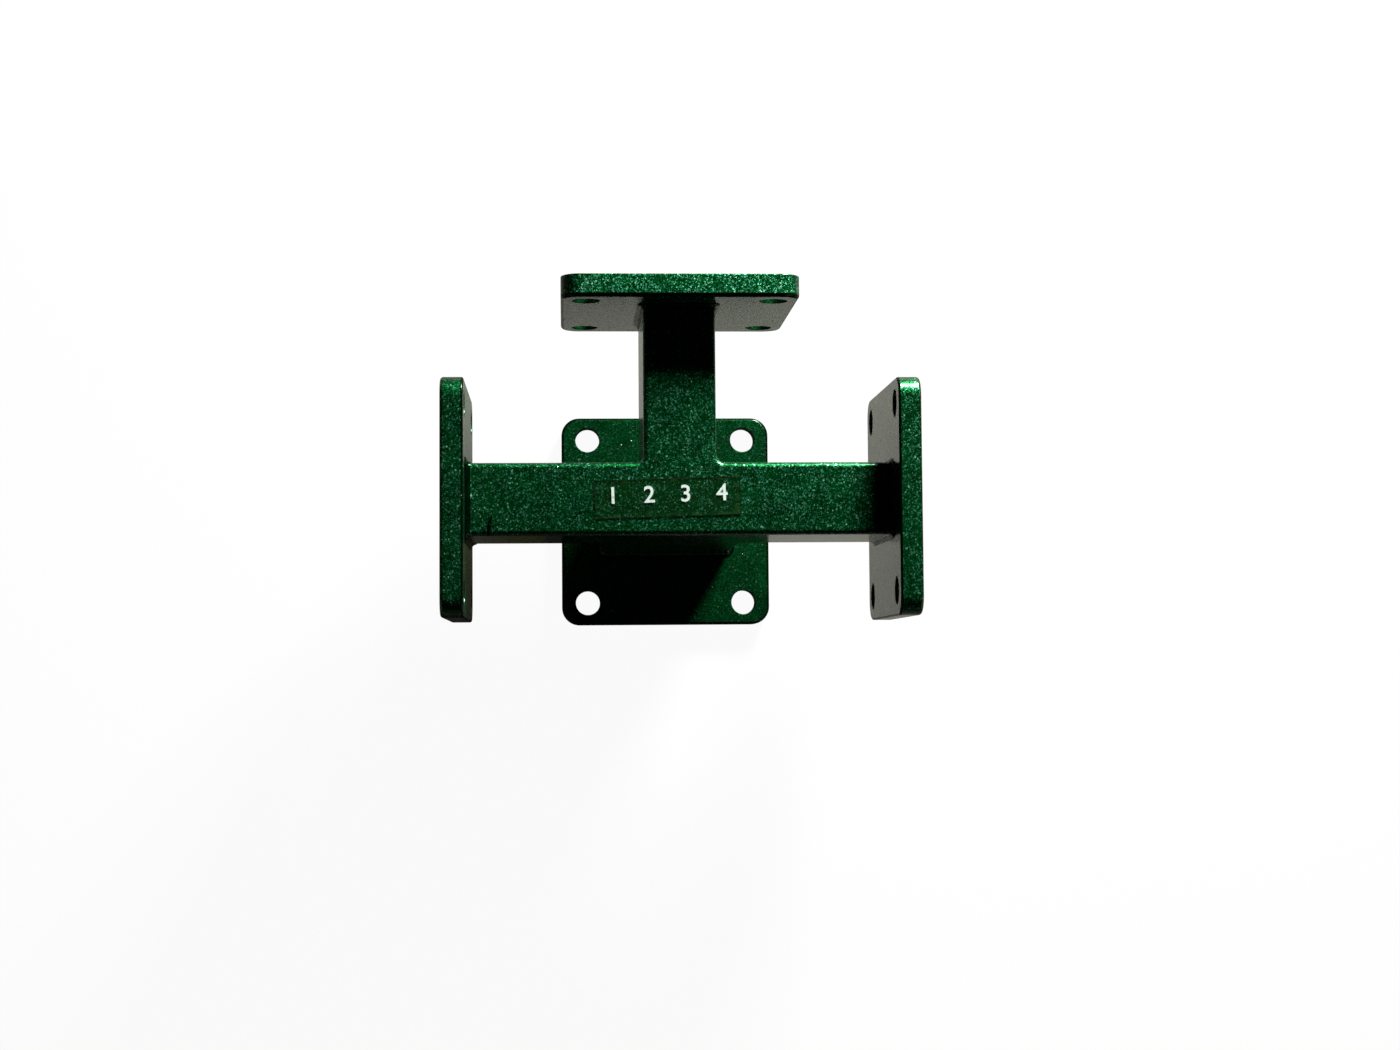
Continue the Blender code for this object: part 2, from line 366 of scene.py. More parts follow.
def dress(piece, nodes, finishes):
    """Finish a piece: each face takes the last finish whose test it passes."""
    for index, (material, wanted) in enumerate(finishes):
        piece.data.materials.append(material)
        for face in piece.data.polygons:
            if wanted(face.center, face.normal):
                face.material_index = index
    bpy.ops.object.select_all(action="DESELECT")
    piece.select_set(True)
    bpy.context.view_layer.objects.active = piece
    bpy.ops.object.shade_smooth_by_angle(angle=SHADE_ANGLE)
    apply_modifier(piece, "WEIGHTED_NORMAL", {"keep_sharp": True})
    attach(piece, "root")
    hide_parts(*nodes)


def everywhere(centre, normal):
    """Test that every face passes."""
    return True


def axis_line(axis):
    """Test for edges that run along an axis."""
    return lambda middle, way: abs(way[axis]) > ALONG


def square_to(way, axis):
    """Whether an edge runs square to an axis."""
    return abs(way[axis]) < SQUARE


def make_tube(name, low, high, axis, mouths):
    """Rectangular tube that fills a box, open along one axis, with the burr off its mouths."""
    tube = add_block(name, low, high)
    bevel(tube, axis_line(axis), TUBE_CORNER, TUBE_STEPS)
    wall = Vector((WALL, WALL, WALL))
    wall[axis] = -CUT_PAST
    bore = add_block(name + "_bore", low + wall, high - wall)
    bevel(bore, axis_line(axis), BORE_CORNER, BORE_STEPS)
    combine(tube, bore, "DIFFERENCE")
    across = [i for i in range(3) if i != axis]

    def on_mouth(middle, way):
        at_end = any(abs(middle[axis] - place) < MOUTH_BURR / 10 for place in mouths)
        inner = all(low[i] + WALL / 2 < middle[i] < high[i] - WALL / 2 for i in across)
        return at_end and inner and square_to(way, axis)

    bevel(tube, on_mouth, MOUTH_BURR, 2)
    return tube


def outside(low, high, axis):
    """Test for the faces on the outer walls of a tube."""
    across = [i for i in range(3) if i != axis]
    margin = WALL / 2

    def wanted(centre, normal):
        near = any(min(centre[i] - low[i], high[i] - centre[i]) < margin for i in across)
        at_end = min(centre[axis] - low[axis], high[axis] - centre[axis]) < MOUTH_BURR
        return near and not at_end

    return wanted


X, Y, Z = range(3)
enamel = make_green_enamel("green_metallic_enamel", lightness=1.0, sparkle=1.0, resin=1.0)
drawn_brass_x = make_brass("drawn_brass_along_x", (0.06, 1, 1), 0.0004, roughness=0.34, dull=0.5)
guide_low, guide_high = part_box("through_guide")
e_low, e_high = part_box("e_arm")
h_low, h_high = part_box("h_arm")

guide = make_tube("guide_tube", guide_low, guide_high, X, (guide_low.x, guide_high.x))
land = Vector((WALL + SLOT_LAND,) * 3)
e_slot = add_block(
    "e_slot",
    (e_low.x + land.x, guide_high.y - WALL - CUT_PAST, e_low.z + land.z),
    (e_high.x - land.x, guide_high.y + CUT_PAST, e_high.z - land.z),
)
bevel(e_slot, axis_line(Y), BORE_CORNER, BORE_STEPS)
combine(guide, e_slot, "DIFFERENCE")
h_slot = add_block(
    "h_slot",
    (h_low.x + land.x, h_low.y + land.y, guide_low.z - CUT_PAST),
    (h_high.x - land.x, h_high.y - land.y, guide_low.z + WALL + CUT_PAST),
)
bevel(h_slot, axis_line(Z), BORE_CORNER, BORE_STEPS)
combine(guide, h_slot, "DIFFERENCE")

# A slip of the saw left a nick in the front edge near port 1, which runs out towards the middle.
nick_edge = Vector((NICK_X, guide_low.y, guide_high.z))
nick = add_block(
    "nick",
    (-NICK_WIDTH / 2, -CUT_PAST, -NICK_DEPTH),
    (NICK_WIDTH / 2, NICK_LENGTH, CUT_PAST),
)
bevel(nick, lambda middle, way: abs(way.y) > ALONG and middle.z < 0, NICK_WIDTH / 4, 3)
fade = Matrix.Rotation(math.atan2(NICK_DEPTH, NICK_LENGTH), 4, "X")
nick.data.transform(Matrix.Translation(nick_edge) @ Matrix.Rotation(NICK_TURN, 4, "Z") @ fade)
combine(guide, nick, "DIFFERENCE")
dress(
    guide,
    ["through_guide"],
    [(drawn_brass_x, everywhere), (enamel, outside(guide_low, guide_high, X))],
)


# E arm and H arm: two shorter lengths of the same tube. The E arm stands on the broad wall and the
# H arm on the narrow wall, each with its end coped to fit round the corners of the through guide.
# Their outer walls come out flush with the guide's, so the paint runs on from one to the other.

SLIVER = 0.000002

drawn_brass_y = make_brass("drawn_brass_along_y", (1, 0.06, 1), 0.0004, roughness=0.34, dull=0.5)
drawn_brass_z = make_brass("drawn_brass_along_z", (1, 1, 0.06), 0.0004, roughness=0.34, dull=0.5)


def make_arm(name, node, low, high, axis, mouth, bore_finish):
    """Tube from inside the corner of the through guide out to its port, coped round the guide.

    The cope leaves slivers in the corners, which are merged.
    """
    arm = make_tube(name, low, high, axis, (mouth,))
    room = add_block("guide_room", guide_low, guide_high)
    bevel(room, axis_line(X), TUBE_CORNER, TUBE_STEPS)
    combine(arm, room, "DIFFERENCE")
    apply_modifier(arm, "WELD", {"merge_threshold": SLIVER})
    dress(
        arm,
        [node],
        [(bore_finish, everywhere), (enamel, outside(low, high, axis))],
    )


make_arm(
    "e_arm_tube",
    "e_arm",
    Vector((e_low.x, guide_high.y - TUBE_CORNER, e_low.z)),
    e_high,
    Y,
    e_high.y,
    drawn_brass_y,
)
make_arm(
    "h_arm_tube",
    "h_arm",
    h_low,
    Vector((h_high.x, h_high.y, guide_low.z + TUBE_CORNER)),
    Z,
    h_low.z,
    drawn_brass_z,
)


# Matching post and iris: the turned post stands in the junction and matches the H arm, and the
# milled plate with a window matches the E arm. Both are bare brass, darker for being inside.

turned_brass = make_brass("turned_brass", (1, 1, 0.1), 0.0005, roughness=0.3, dull=0.7)
milled_brass = make_brass("milled_brass", (0.1, 1, 1), 0.0005, roughness=0.36, dull=0.7)
for node, finish in (("matching_post", turned_brass), ("matching_iris", milled_brass)):
    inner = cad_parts[node]
    inner.data.materials.clear()
    inner.data.materials.append(finish)


# Root braze: a fillet of silver solder on each side of an arm's foot, where its wall stands on
# the wider wall of the through guide. It was run in hot, filed flush at its ends and sprayed over.

HOLLOW_PROFILE = 0.086
HOLLOW_STEPS = 10
FEATHER = 0.00003
STRAIGHT = 0.9999


def make_root_braze(name, node, arm_wall, guide_wall, reach):
    """Bar sunk in both walls, hollowed along its open edge, with its ends eased as the tubes are.

    Each wall is given by its axis, its place and the way it faces.
    """
    walls = (arm_wall, guide_wall)
    low = guide_low.copy()
    high = guide_high.copy()
    for axis, place, way in walls:
        low[axis], high[axis] = sorted((place - way * TUBE_CORNER, place + way * reach))
    bar = add_block(name, low, high)

    def on_open_edge(middle, run):
        return all(
            abs((middle[axis] - place) * way - reach) < FEATHER for axis, place, way in walls
        )

    def on_end(middle, run):
        clear = all((middle[axis] - place) * way > 0 for axis, place, way in walls)
        slanting = all(abs(run[axis]) < STRAIGHT for axis, place, way in walls)
        across = any(abs(run[axis]) > SQUARE for axis, place, way in walls)
        return clear and slanting and across

    bevel(bar, on_open_edge, reach - FEATHER, HOLLOW_STEPS, HOLLOW_PROFILE)
    bevel(bar, on_end, TUBE_CORNER, TUBE_STEPS)
    dress(bar, [node], [(enamel, everywhere)])


foot = guide_high.y
make_root_braze("e_root_fillet_left", "e_root_braze_left", (X, e_low.x, -1), (Y, foot, 1), 0.0011)
make_root_braze("e_root_fillet_right", "e_root_braze_right", (X, e_high.x, 1), (Y, foot, 1), 0.0015)
foot = guide_low.z
make_root_braze("h_root_fillet_left", "h_root_braze_left", (X, h_low.x, -1), (Z, foot, -1), 0.0014)
make_root_braze("h_root_fillet_right", "h_root_braze_right", (X, h_high.x, 1), (Z, foot, -1), 0.0013)


# Flanges: four square plates sawn from brass bar, all drilled from one jig, with the window milled
# to the tube and every edge eased with a file. Back, rim and holes are sprayed. The mating face is
# lapped flat after spraying, which leaves it bare to halfway round its edge.

FLANGE_SIDE = 0.0413
FLANGE_THICKNESS = 0.0040
FLANGE_CORNER = 0.0035
BOLT_ALONG = 0.03099
BOLT_ACROSS = 0.03251
BOLT_HOLE = 0.0048
BOLT_DEBURR = 0.00018
RIM_SLACK = 0.00002
TUBE_WIDTH = 0.0254
TUBE_HEIGHT = 0.0127
BRAZE_GAP = 0.0001

# How far a face looks out of its port, from -1 on the back to 1 on the mating face.
BACK_FACE = -0.97
RIM_FACE = -0.1
BARE_FACE = 0.85

# The way out of each port, and the way the broad side of its tube runs.
PORTS = {
    "port_1": (Vector((-1, 0, 0)), Vector((0, 0, 1))),
    "port_2": (Vector((1, 0, 0)), Vector((0, 0, 1))),
    "e_port": (Vector((0, 1, 0)), Vector((0, 0, 1))),
    "h_port": (Vector((0, 0, -1)), Vector((1, 0, 0))),
}
lapped_brass = make_brass("lapped_brass", (1, 1, 1), 0.0003, roughness=0.28, dull=0.55)


def port_place(port):
    """Where a port's mating face is: Z out of the port and X along the broad side of the tube."""
    outward, broad = PORTS[port]
    low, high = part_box(port + "_flange")
    face = (low + high) / 2 + outward * FLANGE_THICKNESS / 2
    turn = Matrix((broad, outward.cross(broad), outward)).transposed().to_4x4()
    return Matrix.Translation(face) @ turn


def on_hole_rim(middle, way):
    """The edges where a bolt hole meets a face of the flange."""
    x = abs(middle.x) - BOLT_ALONG / 2
    y = abs(middle.y) - BOLT_ACROSS / 2
    return square_to(way, Z) and abs(math.hypot(x, y) - BOLT_HOLE / 2) < RIM_SLACK


jig = add_block(
    "window_and_drills",
    (-TUBE_WIDTH / 2 - BRAZE_GAP, -TUBE_HEIGHT / 2 - BRAZE_GAP, -FLANGE_THICKNESS - CUT_PAST),
    (TUBE_WIDTH / 2 + BRAZE_GAP, TUBE_HEIGHT / 2 + BRAZE_GAP, CUT_PAST),
)
bevel(jig, axis_line(Z), TUBE_CORNER + BRAZE_GAP, TUBE_STEPS)
for x in (-BOLT_ALONG / 2, BOLT_ALONG / 2):
    for y in (-BOLT_ACROSS / 2, BOLT_ACROSS / 2):
        bpy.ops.object.select_all(action="DESELECT")
        bpy.ops.mesh.primitive_cylinder_add(
            vertices=48,
            radius=BOLT_HOLE / 2,
            depth=FLANGE_THICKNESS + 2 * CUT_PAST,
            location=(x, y, -FLANGE_THICKNESS / 2),
        )
        bpy.ops.object.transform_apply(location=True, rotation=True, scale=True)
        jig.select_set(True)
        bpy.context.view_layer.objects.active = jig
        bpy.ops.object.join()


def make_flange(port, coat, back_edge, mating_edge):
    """Sawn and drilled plate, eased behind and in front, sprayed and lapped on its face."""
    half = FLANGE_SIDE / 2
    flange = add_block(
        port + "_cover_flange",
        (-half, -half, -FLANGE_THICKNESS),
        (half, half, 0),
    )

    def behind(middle, way):
        return square_to(way, Z) and middle.z < -FLANGE_THICKNESS / 2

    def in_front(middle, way):
        return square_to(way, Z) and middle.z > -mating_edge / 10

    bevel(flange, axis_line(Z), FLANGE_CORNER, 12)
    bevel(flange, behind, back_edge, 6)
    bevel(flange, in_front, mating_edge, 5)
    bpy.ops.object.select_all(action="DESELECT")
    jig.select_set(True)
    bpy.context.view_layer.objects.active = jig
    bpy.ops.object.duplicate()
    combine(flange, bpy.context.object, "DIFFERENCE")
    bevel(flange, on_hole_rim, BOLT_DEBURR, 2)
    place = port_place(port)
    inward = place.inverted()
    flange.data.transform(place)

    def in_bolt_hole(centre, normal):
        x, y, z = inward @ centre
        off_centre = math.hypot(abs(x) - BOLT_ALONG / 2, abs(y) - BOLT_ACROSS / 2)
        return off_centre < BOLT_HOLE / 2 + BOLT_DEBURR

    def on_back_edge(centre, normal):
        return BACK_FACE < (inward.to_3x3() @ normal).z < RIM_FACE

    def on_face(centre, normal):
        return (inward.to_3x3() @ normal).z > BARE_FACE and not in_bolt_hole(centre, normal)

    dress(
        flange,
        [port + "_flange"],
        [
            (coat, everywhere),
            # Painted shade: a dark copy on the eased back edge, where the paint is also thin, and a
            # darker copy in the bolt holes.
            (painted_shade_enamel, on_back_edge),
            (calm_shaded_copy_enamel, in_bolt_hole),
            (lapped_brass, on_face),
        ],
    )


# The E port's flange takes a lighter, glintier copy of the enamel with less clear gloss: painted
# light.
# The H port's flange and the bolt holes take a darker, calmer copy: painted shade. The eased back
# edges take a dark copy: painted shade, where the paint is also thin.
painted_light_enamel = make_green_enamel("green_enamel_painted_light", lightness=1.28, sparkle=1.3, resin=0.8)
calm_shaded_copy_enamel = make_green_enamel("green_enamel_calm_shaded_copy", lightness=0.75, sparkle=0.4, resin=1.0)
painted_shade_enamel = make_green_enamel("green_enamel_painted_shade", lightness=0.15, sparkle=0.2, resin=0.4)
make_flange("port_1", enamel, back_edge=0.0004, mating_edge=0.0006)
make_flange("port_2", enamel, back_edge=0.0004, mating_edge=0.0006)
make_flange("e_port", painted_light_enamel, back_edge=0.0007, mating_edge=0.0002)
make_flange("h_port", calm_shaded_copy_enamel, back_edge=0.0006, mating_edge=0.0004)
bpy.data.objects.remove(jig)


# Flange braze: silver solder that was drawn through the joint between tube and flange. It shows as
# a hollow fillet behind the flange, sprayed green, and as a thin bare line round the tube's mouth.

COLLAR_LAND = 0.00012
SOLDER_DIP = 0.00008
RUNS = 30
WAVE = 0.0013
WAVE_HEIGHT = 0.0003
FROST = 0.0006
POCK_DEPTH = 0.00003
SHADE_FACING_UP = -0.1

solder, solder_tree, solder_shader, solder_place = start_material(
    "silver_solder",
    {"Metallic": 1.0},
)
frosting = add_node(
    solder_tree,
    "ShaderNodeTexNoise",
    {},
    {"Vector": solder_place, "Scale": 1 / FROST, "Detail": 4.0},
)
greyed = add_node(
    solder_tree,
    "ShaderNodeMix",
    {"data_type": "RGBA"},
    {"Factor": frosting.outputs["Fac"], 6: colour("#C4BCA4"), 7: colour("#8A826C")},
)
solder_tree.links.new(greyed.outputs[2], solder_shader.inputs["Base Color"])
frosted = add_node(
    solder_tree,
    "ShaderNodeMapRange",
    {},
    {"Value": frosting.outputs["Fac"], "To Min": 0.4, "To Max": 0.6},
)
solder_tree.links.new(frosted.outputs["Result"], solder_shader.inputs["Roughness"])
pocked = add_node(
    solder_tree,
    "ShaderNodeBump",
    {},
    {"Height": frosting.outputs["Fac"], "Strength": 0.5, "Distance": POCK_DEPTH},
)
solder_tree.links.new(pocked.outputs["Normal"], solder_shader.inputs["Normal"])
waves = bpy.data.textures.new("solder_waves", "CLOUDS")
waves.noise_scale = WAVE
waves.noise_depth = 1


def make_braze(port, reach, shaded_share):
    """Hollow frame behind the flange, which waves a little, with a sleeve that fills the joint.

    shaded_share is the share of its reach, from the flange, where the faces that look up take
    painted shade.
    """
    back = -FLANGE_THICKNESS
    side = Vector((TUBE_WIDTH / 2, TUBE_HEIGHT / 2, 0))
    rim = side + Vector((reach, reach, 0))
    joint = side + Vector((BRAZE_GAP, BRAZE_GAP, 0))
    place = port_place(port)
    ring = add_block(
        port + "_braze_fillet",
        -rim + Vector((0, 0, back - reach)),
        rim + Vector((0, 0, back)),
    )

    def on_open_edge(middle, way):
        return square_to(way, Z) and middle.z < back - reach / 2

    bevel(ring, axis_line(Z), TUBE_CORNER + reach, 10)
    bevel(ring, on_open_edge, reach - COLLAR_LAND, 8, HOLLOW_PROFILE)
    bpy.ops.object.mode_set(mode="EDIT")
    bpy.ops.mesh.select_all(action="DESELECT")
    mesh = bmesh.from_edit_mesh(ring.data)
    for edge in mesh.edges:
        edge.select_set(edge.calc_length() > 2 * reach)
    bmesh.update_edit_mesh(ring.data)
    bpy.ops.mesh.subdivide(number_cuts=RUNS)
    bpy.ops.object.mode_set(mode="OBJECT")
    hollow = ring.vertex_groups.new(name="hollow")
    for vert in ring.data.vertices:
        share = (vert.co.z - back + reach) / (reach - COLLAR_LAND)
        if 0 < share < 1:
            hollow.add([vert.index], 4 * share * (1 - share), "REPLACE")
    sleeve = add_block(
        "sleeve",
        -joint + Vector((0, 0, back - reach / 4)),
        joint - Vector((0, 0, SOLDER_DIP)),
    )
    bevel(sleeve, axis_line(Z), TUBE_CORNER + BRAZE_GAP, TUBE_STEPS)
    mouth = add_block(
        "mouth",
        -side + Vector((0, 0, back - reach - CUT_PAST)),
        side + Vector((0, 0, CUT_PAST)),
    )
    bevel(mouth, axis_line(Z), TUBE_CORNER, TUBE_STEPS)
    for part in (ring, sleeve, mouth):
        part.data.transform(place)
    apply_modifier(
        ring,
        "DISPLACE",
        {"texture": waves, "vertex_group": "hollow", "strength": WAVE_HEIGHT, "mid_level": 0.5},
    )
    combine(ring, sleeve, "UNION")
    combine(ring, mouth, "DIFFERENCE")
    outward = place.inverted()

    def in_painted_shade(centre, normal):
        return (outward @ centre).z > back - reach * shaded_share and normal.z > SHADE_FACING_UP

    def in_joint(centre, normal):
        return (outward @ centre).z > back + BRAZE_GAP

    dress(
        ring,
        [port + "_flange_braze"],
        [(enamel, everywhere), (painted_shade_enamel, in_painted_shade), (solder, in_joint)],
    )


# Near its flange, the upward faces of each fillet take painted shade, for the flange's shadow.
make_braze("port_1", reach=0.00115, shaded_share=0.8)
make_braze("port_2", reach=0.0007, shaded_share=0.8)
make_braze("e_port", reach=0.0009, shaded_share=1.1)
make_braze("h_port", reach=0.0010, shaded_share=0.4)


# Label: a strip of clear film, cut by hand and pressed on a little askew, with dust along its cut
# edges. Plain white port numerals are printed on it.

LABEL_LENGTH = 0.0255
LABEL_WIDTH = 0.0067
LABEL_TILT = math.radians(1.65)
LABEL_CORNER = 0.0003

# Dust has crept in from the edges to a distance that wavers with its grain.
DUST_GRAIN = 0.0014
DUST_SWING = 0.006
DUST_AT_ENDS = 0.4
DUST_FULL = -0.0034
DUST_GONE = -0.0026

# The cut edge shows as a thin dark line.
CUT_FULL = 0.00006
CUT_GONE = 0.00018

NUMERAL_HEIGHT = 0.0030
NUMERAL_SPAN = 0.0190
NUMERAL_LIFT = 0.0005
NUMERAL_BOLD = 0.00005
CAP_SHARE = 0.73
INK = 0.00002
INK_WEAR = 0.0005

label_low, label_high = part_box("label")
label_centre = (label_low + label_high) / 2
label_turn = Matrix.Translation(label_centre) @ Matrix.Rotation(LABEL_TILT, 4, "Z")
thick = label_high.z - label_low.z

film, film_tree, film_shader, film_place = start_material(
    "clear_label_film",
    {"Roughness": 0.3, "IOR": 1.47},
)
flat_place = add_node(
    film_tree,
    "ShaderNodeMapping",
    {"vector_type": "TEXTURE"},
    {"Vector": film_place, "Location": label_centre, "Rotation": (0, 0, LABEL_TILT)},
)
mirror_place = add_node(
    film_tree,
    "ShaderNodeVectorMath",
    {"operation": "ABSOLUTE"},
    {0: flat_place.outputs["Vector"]},
)
inset_place = add_node(
    film_tree,
    "ShaderNodeVectorMath",
    {"operation": "SUBTRACT"},
    {0: (LABEL_LENGTH / 2, LABEL_WIDTH / 2, 0), 1: mirror_place.outputs["Vector"]},
)
inset_parts = add_node(
    film_tree,
    "ShaderNodeSeparateXYZ",
    {},
    {"Vector": inset_place.outputs["Vector"]},
)
end_distance = add_node(
    film_tree,
    "ShaderNodeMath",
    {"operation": "MULTIPLY"},
    {0: inset_parts.outputs["X"], 1: DUST_AT_ENDS},
)
dust_distance = add_node(
    film_tree,
    "ShaderNodeMath",
    {"operation": "MINIMUM"},
    {0: end_distance.outputs["Value"], 1: inset_parts.outputs["Y"]},
)
edge_distance = add_node(
    film_tree,
    "ShaderNodeMath",
    {"operation": "MINIMUM"},
    {0: inset_parts.outputs["X"], 1: inset_parts.outputs["Y"]},
)
dust_grain = add_node(
    film_tree,
    "ShaderNodeTexNoise",
    {},
    {"Vector": film_place, "Scale": 1 / DUST_GRAIN, "Detail": 4.0},
)
dust_reach = add_node(
    film_tree,
    "ShaderNodeMath",
    {"operation": "MULTIPLY_ADD"},
    {0: dust_grain.outputs["Fac"], 1: -DUST_SWING, 2: dust_distance.outputs["Value"]},
)
dust = add_node(
    film_tree,
    "ShaderNodeMapRange",
    {"interpolation_type": "SMOOTHSTEP"},
    {
        "Value": dust_reach.outputs["Value"],
        "From Min": DUST_FULL,
        "From Max": DUST_GONE,
        "To Min": 1.0,
        "To Max": 0.0,
    },
)
cut = add_node(
    film_tree,
    "ShaderNodeMapRange",
    {"interpolation_type": "SMOOTHSTEP"},
    {
        "Value": edge_distance.outputs["Value"],
        "From Min": CUT_FULL,
        "From Max": CUT_GONE,
        "To Min": 1.0,
        "To Max": 0.0,
    },
)
dusty = add_node(
    film_tree,
    "ShaderNodeMix",
    {"data_type": "RGBA"},
    {"Factor": dust.outputs["Result"], 6: colour("#0A3008"), 7: colour("#1C4218")},
)
edged = add_node(
    film_tree,
    "ShaderNodeMix",
    {"data_type": "RGBA"},
    {"Factor": cut.outputs["Result"], 6: dusty.outputs[2], 7: colour("#0C1008")},
)
film_tree.links.new(edged.outputs[2], film_shader.inputs["Base Color"])
dust_cover = add_node(
    film_tree,
    "ShaderNodeMapRange",
    {},
    {"Value": dust.outputs["Result"], "To Min": 0.14, "To Max": 0.38},
)
cover = add_node(
    film_tree,
    "ShaderNodeMath",
    {"operation": "MULTIPLY_ADD", "use_clamp": True},
    {0: cut.outputs["Result"], 1: 0.45, 2: dust_cover.outputs["Result"]},
)
film_tree.links.new(cover.outputs["Value"], film_shader.inputs["Alpha"])

strip = add_block(
    "label_strip",
    (-LABEL_LENGTH / 2, -LABEL_WIDTH / 2, -thick / 2),
    (LABEL_LENGTH / 2, LABEL_WIDTH / 2, thick / 2),
)
bevel(strip, axis_line(Z), LABEL_CORNER, 4)
bevel(strip, lambda middle, way: middle.z > thick / 3, thick / 3, 2)
strip.data.transform(label_turn)
dress(strip, ["label"], [(film, everywhere)])

ink, ink_tree, ink_shader, ink_place = start_material("white_printing_ink", {"Roughness": 0.45})
ink_wear = add_node(
    ink_tree,
    "ShaderNodeTexNoise",
    {},
    {"Vector": ink_place, "Scale": 1 / INK_WEAR, "Detail": 4.0},
)
ink_thin = add_node(
    ink_tree,
    "ShaderNodeMapRange",
    {},
    {"Value": ink_wear.outputs["Fac"], "From Min": 0.55, "From Max": 0.75},
)
ink_colour = add_node(
    ink_tree,
    "ShaderNodeMix",
    {"data_type": "RGBA"},
    {"Factor": ink_thin.outputs["Result"], 6: colour("#C9D9CE"), 7: colour("#8FA898")},
)
ink_tree.links.new(ink_colour.outputs[2], ink_shader.inputs["Base Color"])

numerals = []
for index in range(4):
    bpy.ops.object.select_all(action="DESELECT")
    bpy.ops.object.text_add(location=(0, 0, 0))
    numeral = bpy.context.object
    numeral.data.body = str(index + 1)
    numeral.data.align_x = "CENTER"
    numeral.data.align_y = "CENTER"
    numeral.data.size = NUMERAL_HEIGHT / CAP_SHARE
    numeral.data.offset = NUMERAL_BOLD
    numeral.data.resolution_u = 5
    numeral.data.extrude = INK / 2
    bpy.ops.object.convert(target="MESH")
    numeral = bpy.context.object
    step = Vector((NUMERAL_SPAN * (index / 3 - 0.5), NUMERAL_LIFT, thick / 2 + INK / 2))
    numeral.data.transform(label_turn @ Matrix.Translation(step))
    numerals.append(numeral)
bpy.ops.object.select_all(action="DESELECT")
for numeral in numerals:
    numeral.select_set(True)
bpy.context.view_layer.objects.active = numerals[0]
bpy.ops.object.join()
printed = bpy.context.object
printed.name = "port_numerals"
printed.data.materials.append(ink)
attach(printed, "root")


# Stage: a pale table top and a white backdrop, one key lamp low at the upper right, as in the
# photograph, two dim fills in front, and a camera above the tee. Only the camera sees the white.
# Gloss and bounced light meet a dim room, and a table with painted shade near the tee.

TABLE_SIZE = 6
TABLE_DROP = 0.0002
WHITE_TO_CAMERA = 0.95
WHITE_IN_GLOSS = 0.01
# Painted shade on the table: dark olive round DARK_CENTRE, lighter out to DARK_TO, for all rays but
# the camera's.
DARK_CENTRE = (-0.026, -0.018, 0)
DARK_FROM = 0.001
DARK_TO = 0.034
OPEN_TONE = 0.19
ROOM_FOOT = 0.02
ROOM_TOP = 0.25
ROOM_LIGHT = 0.06

floor_material = bpy.data.materials.new("pale_table_top")
floor_material.use_nodes = True
floor_tree = floor_material.node_tree
floor_tree.nodes.clear()
light_path = add_node(floor_tree, "ShaderNodeLightPath", {}, {})
mirrored = add_node(
    floor_tree,
    "ShaderNodeMath",
    {"operation": "ADD"},
    {0: light_path.outputs["Is Glossy Ray"], 1: light_path.outputs["Is Transmission Ray"]},
)
faint = add_node(
    floor_tree,
    "ShaderNodeMath",
    {"operation": "MULTIPLY"},
    {0: mirrored.outputs["Value"], 1: WHITE_IN_GLOSS},
)
share = add_node(
    floor_tree,
    "ShaderNodeMath",
    {"operation": "MULTIPLY_ADD", "use_clamp": True},
    {0: light_path.outputs["Is Camera Ray"], 1: WHITE_TO_CAMERA, 2: faint.outputs["Value"]},
)
floor_place = add_node(floor_tree, "ShaderNodeTexCoord", {}, {})
floor_way = add_node(
    floor_tree,
    "ShaderNodeVectorMath",
    {"operation": "DISTANCE"},
    {0: floor_place.outputs["Object"], 1: DARK_CENTRE},
)
shade = add_node(
    floor_tree,
    "ShaderNodeMapRange",
    {"interpolation_type": "SMOOTHSTEP"},
    {
        "Value": floor_way.outputs["Value"],
        "From Min": DARK_FROM,
        "From Max": DARK_TO,
        "To Max": OPEN_TONE,
    },
)
open_floor = add_node(
    floor_tree,
    "ShaderNodeMath",
    {"operation": "MAXIMUM"},
    {0: light_path.outputs["Is Camera Ray"], 1: shade.outputs["Result"]},
)
tone = add_node(
    floor_tree,
    "ShaderNodeMix",
    {"data_type": "RGBA"},
    {"Factor": open_floor.outputs["Value"], 6: colour("#2E3006"), 7: colour("#F2F2F0")},
)
matt = add_node(floor_tree, "ShaderNodeBsdfDiffuse", {}, {"Color": tone.outputs[2]})
glow = add_node(floor_tree, "ShaderNodeEmission", {}, {"Color": (1, 1, 1, 1), "Strength": 1.0})
mixed = add_node(
    floor_tree,
    "ShaderNodeMixShader",
    {},
    {"Fac": share.outputs["Value"], 1: matt.outputs["BSDF"], 2: glow.outputs["Emission"]},
)
add_node(floor_tree, "ShaderNodeOutputMaterial", {}, {"Surface": mixed.outputs["Shader"]})
bpy.ops.object.select_all(action="DESELECT")
bpy.ops.mesh.primitive_plane_add(size=TABLE_SIZE, location=(0, 0, -TABLE_DROP))
bpy.ops.object.transform_apply(location=True, rotation=True, scale=True)
table = bpy.context.object
table.name = "table_top"
table.data.materials.append(floor_material)

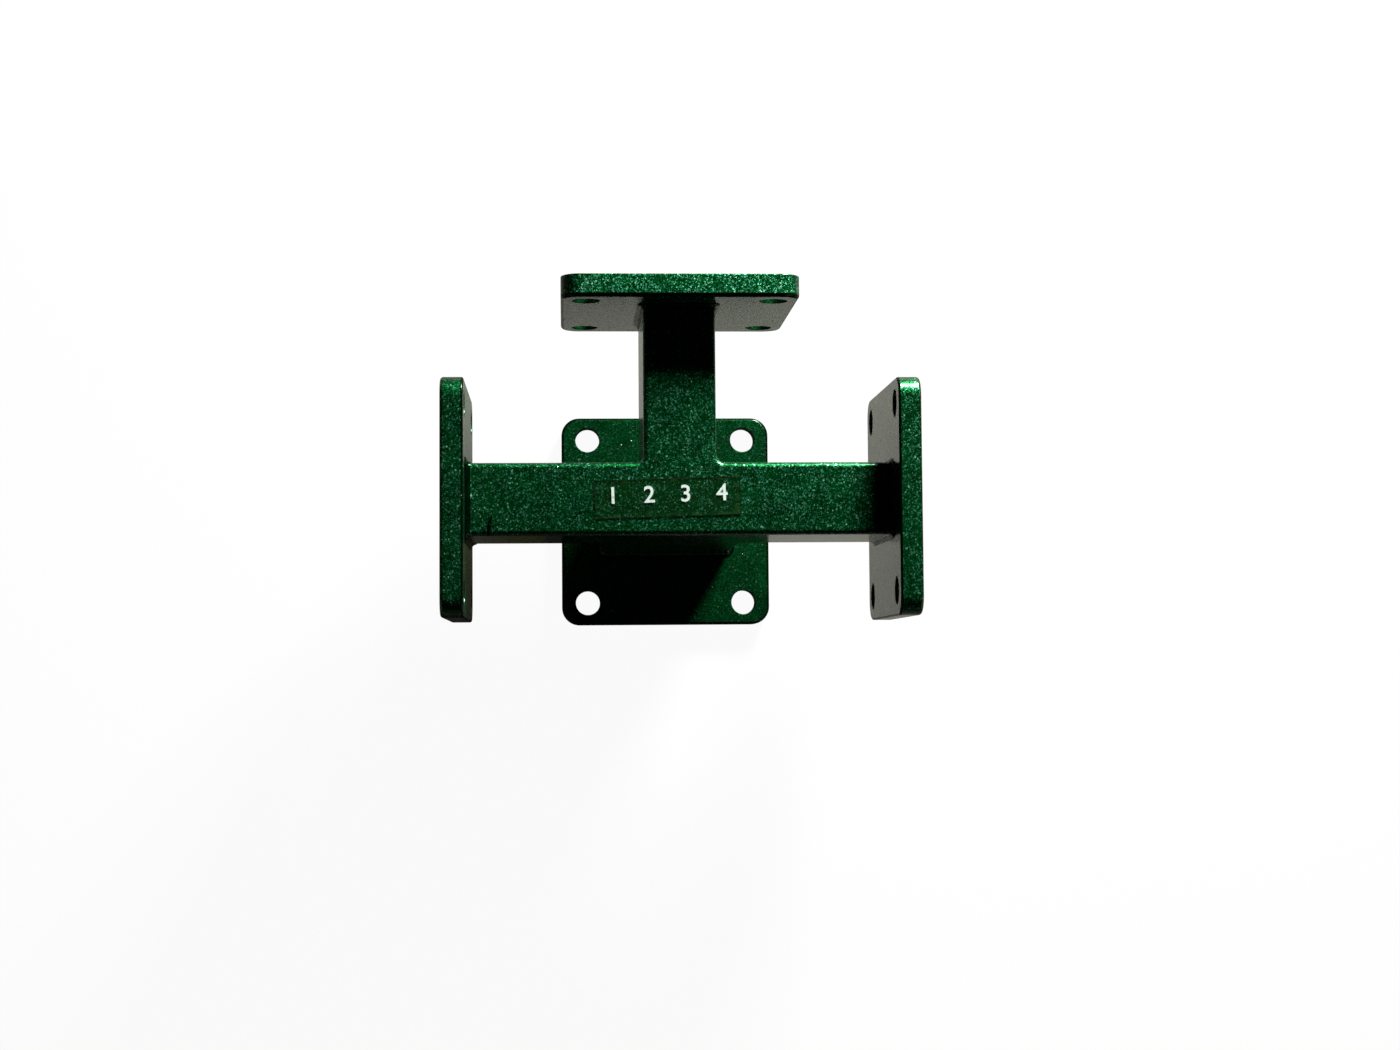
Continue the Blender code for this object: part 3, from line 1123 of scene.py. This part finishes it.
world = bpy.data.worlds.new("white_backdrop_in_dim_room")
bpy.context.scene.world = world
world.use_nodes = True
world_tree = world.node_tree
world_path = add_node(world_tree, "ShaderNodeLightPath", {}, {})
sky = add_node(world_tree, "ShaderNodeTexCoord", {}, {})
height = add_node(world_tree, "ShaderNodeSeparateXYZ", {}, {"Vector": sky.outputs["Generated"]})
walls = add_node(
    world_tree,
    "ShaderNodeMapRange",
    {"interpolation_type": "SMOOTHSTEP"},
    {
        "Value": height.outputs["Z"],
        "From Min": ROOM_FOOT,
        "From Max": ROOM_TOP,
        "To Min": ROOM_LIGHT,
        "To Max": 0.0,
    },
)
seen_sky = add_node(
    world_tree,
    "ShaderNodeMath",
    {"operation": "MAXIMUM"},
    {0: world_path.outputs["Is Camera Ray"], 1: walls.outputs["Result"]},
)
background = world_tree.nodes["Background"]
background.inputs["Color"].default_value = (1, 1, 1, 1)
world_tree.links.new(seen_sky.outputs["Value"], background.inputs["Strength"])

guide_centre = (guide_low + guide_high) / 2
KEY_WAY = Vector((0.41, 0.827, 0.388)).normalized()
KEY_DISTANCE = 0.285
RIGHT_WAY = Vector((0.72, -0.66, 0.2)).normalized()
LEFT_WAY = Vector((-0.72, -0.66, 0.1)).normalized()
FILL_DISTANCE = 0.8


def add_lamp(name, way, distance, size, power):
    """Square area lamp that looks at the middle of the through guide."""
    bpy.ops.object.light_add(type="AREA", location=guide_centre + way * distance)
    lamp = bpy.context.object
    lamp.name = name
    lamp.data.size = size
    lamp.data.energy = power
    lamp.rotation_euler = way.to_track_quat("Z", "Y").to_euler()
    lamp.visible_camera = False


add_lamp("key_lamp", KEY_WAY, KEY_DISTANCE, size=0.07, power=2.85)
add_lamp("right_fill", RIGHT_WAY, FILL_DISTANCE, size=0.5, power=0.4)
add_lamp("left_fill", LEFT_WAY, FILL_DISTANCE, size=0.5, power=0.2)

CAMERA_PLACE = Vector((-0.02011, -0.03886, 0.46058))
CAMERA_RIGHT = Vector((0.99825, -0.00759, 0.05859))
CAMERA_UP = Vector((0.00381, 0.99792, 0.06431))
bpy.ops.object.camera_add(location=CAMERA_PLACE)
camera = bpy.context.object
camera.name = "camera"
camera.data.lens = 59.0
camera.data.sensor_width = 36.0
back_way = CAMERA_RIGHT.cross(CAMERA_UP)
camera.rotation_euler = Matrix((CAMERA_RIGHT, CAMERA_UP, back_way)).transposed().to_euler()
bpy.context.scene.camera = camera
